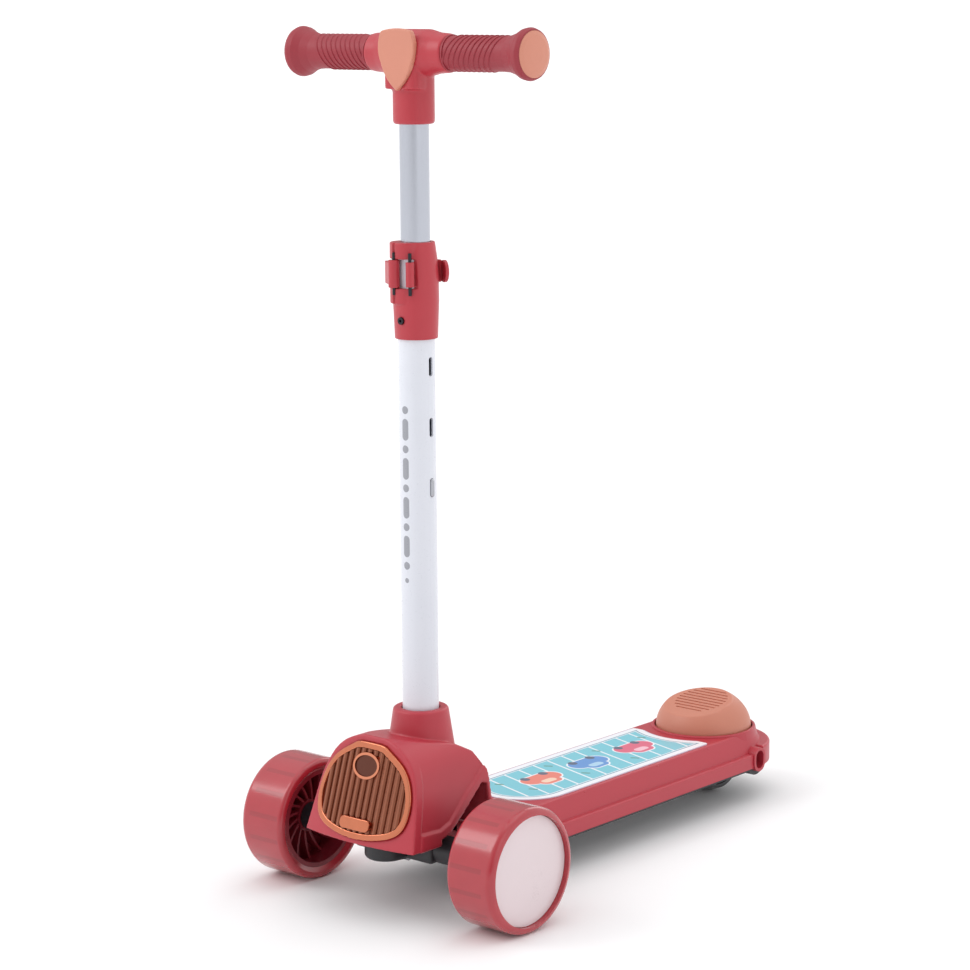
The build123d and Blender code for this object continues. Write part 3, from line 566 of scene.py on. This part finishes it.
def ribTree():
    graph, size = newGeometryTree("slantedRibs", gripRibs)
    circle = "GeometryNodeCurvePrimitiveCircle"
    ring = graph.node(circle, None, {"Resolution": 56, "Radius": size["Radius"]})
    upright = graph.node("GeometryNodeTransform", None, {"Geometry": ring, "Rotation": (0, pi / 2, 0)})
    profile = graph.node(circle, None, {"Resolution": 8, "Radius": size["Thickness"]})
    rib = graph.node("GeometryNodeCurveToMesh", None, {"Curve": upright, "Profile Curve": profile})
    start = graph.node("ShaderNodeCombineXYZ", None, {0: size["Start"]})
    step = graph.node("ShaderNodeCombineXYZ", None, {0: size["Pitch"]})
    row = {"Count": size["Count"], "Start Location": start, "Offset": step}
    line = graph.node("GeometryNodeMeshLine", None, row)
    placed = graph.node("GeometryNodeInstanceOnPoints", None, {"Points": line, "Instance": rib})
    solid = graph.node("GeometryNodeRealizeInstances", None, {0: placed})
    spot = graph.node("GeometryNodeInputPosition")
    split = graph.node("ShaderNodeSeparateXYZ", None, {0: spot})
    x, y, z = [Wire(graph, out) for out in split.socket.node.outputs]
    leaned = graph.node(
        "ShaderNodeCombineXYZ",
        None,
        {0: (x + z * size["Slant"]) * size["Side"], 1: y + size["Depth"], 2: z + size["Height"]},
    )
    moved = graph.node("GeometryNodeSetPosition", None, {"Geometry": solid, "Position": leaned})
    smooth = graph.node("GeometryNodeSetShadeSmooth", None, {0: moved})
    closeTree(graph, graph.node("GeometryNodeSetMaterial", None, {0: smooth, "Material": size["Finish"]}))
    return graph.tree


ribs = ribTree()
for label, side in (("left", 1.0), ("right", -1.0)):
    mesh = runTree(label + "GripRibs", ribs, {**gripRibs, "Side": side})
    if side < 0:
        mesh.flip_normals()
    addPiece(label + "GripRibs", mesh, "handlebar")
print("grip ribs built")


# the floor fades from bare near the middle to faintly glowing far off, in metres
floorLook = {"half": 40.0, "cloudSize": 0.8, "glowMiddle": 2.6, "glowFade": 3.2}


def addFloor():
    half = floorLook["half"]
    mesh = bpy.data.meshes.new("floor")
    corners = [(-half, -half, 0), (half, -half, 0), (half, half, 0), (-half, half, 0)]
    mesh.from_pydata(corners, [], [(0, 1, 2, 3)])
    finish = Finish("paleFloor", 0.6, specular=0.2)
    clouds = finish.noise(floorLook["cloudSize"], 2)
    finish.feed("Base Color", finish.blendColours(clouds, tone(246, 246, 247), tone(250, 250, 251)))
    x, y, z = finish.axes()
    near = (x * x + y * y).root().under(floorLook["glowMiddle"], floorLook["glowFade"])
    finish.feed("Emission Color", finish.blendColours(near, tone(150, 150, 151), (0, 0, 0, 1)))
    finish.shader.inputs["Emission Strength"].default_value = 1.0
    mesh.materials.append(finish.material)
    floor = bpy.data.objects.new("floor", mesh)
    bpy.context.scene.collection.objects.link(floor)


def addSoftbox(name, place, aim, width, height, power):
    light = bpy.data.lights.new(name, "AREA")
    light.shape = "RECTANGLE"
    light.size = width
    light.size_y = height
    light.energy = power
    box = bpy.data.objects.new(name, light)
    box.location = place
    box.rotation_euler = (Vector(aim) - Vector(place)).to_track_quat("-Z", "Y").to_euler()
    bpy.context.scene.collection.objects.link(box)


softboxes = {
    "key": ((-1.6, -1.9, 2.2), (0, -0.1, 0.3), 1.5, 1.5, 20),
    "fill": ((2.6, -0.9, 1.5), (0, 0, 0.3), 1.6, 2.0, 4),
    "top": ((0.2, 0.3, 2.8), (0, 0, 0.2), 2.4, 2.4, 12),
    "rim": ((-0.8, 2.6, 1.6), (0, 0, 0.4), 1.2, 2.0, 9),
}
for name, (place, aim, width, height, power) in softboxes.items():
    addSoftbox(name, place, aim, width, height, power)
addFloor()

# soft walls: lighter and darker round the compass, so that round metal shows its form
studioWalls = {"light": 1.1, "dark": 0.22, "seen": 1.1, "turn": radians(38)}


def addWalls():
    world = bpy.data.worlds.new("studio")
    world.use_nodes = True
    graph = Graph(world.node_tree)
    x, y, z = graph.axes()
    across = abs(x * cos(studioWalls["turn"]) + y * sin(studioWalls["turn"]))
    level = (across + z.high(0.0) * 0.6).low(1.0)
    span = studioWalls["light"] - studioWalls["dark"]
    glow = studioWalls["dark"] + level * span
    seen = graph.node("ShaderNodeLightPath")
    strength = glow + seen * (studioWalls["seen"] - glow)
    background = world.node_tree.nodes["Background"]
    background.inputs[0].default_value = (1, 1, 1, 1)
    world.node_tree.links.new(strength.socket, background.inputs[1])
    bpy.context.scene.world = world


addWalls()
bpy.context.scene.view_settings.view_transform = "Standard"

shot = {
    "place": (1.6057, -1.9749, 0.7938),
    "azimuth": radians(40.7),
    "elevation": radians(10.12),
    "roll": radians(-0.43),
    "lens": 104.53,
}


def addCamera():
    turn, rise, roll = shot["azimuth"], shot["elevation"], shot["roll"]
    back = Vector((sin(turn) * cos(rise), -cos(turn) * cos(rise), sin(rise)))
    right = Vector((cos(turn), sin(turn), 0))
    up = back.cross(right)
    rolledRight = right * cos(roll) + up * sin(roll)
    rolledUp = up * cos(roll) - right * sin(roll)
    camera = bpy.data.objects.new("camera", bpy.data.cameras.new("camera"))
    camera.data.lens = shot["lens"]
    turned = Matrix((rolledRight, rolledUp, back)).transposed().to_4x4()
    camera.matrix_world = Matrix.Translation(shot["place"]) @ turned
    bpy.context.scene.collection.objects.link(camera)
    bpy.context.scene.camera = camera


addCamera()
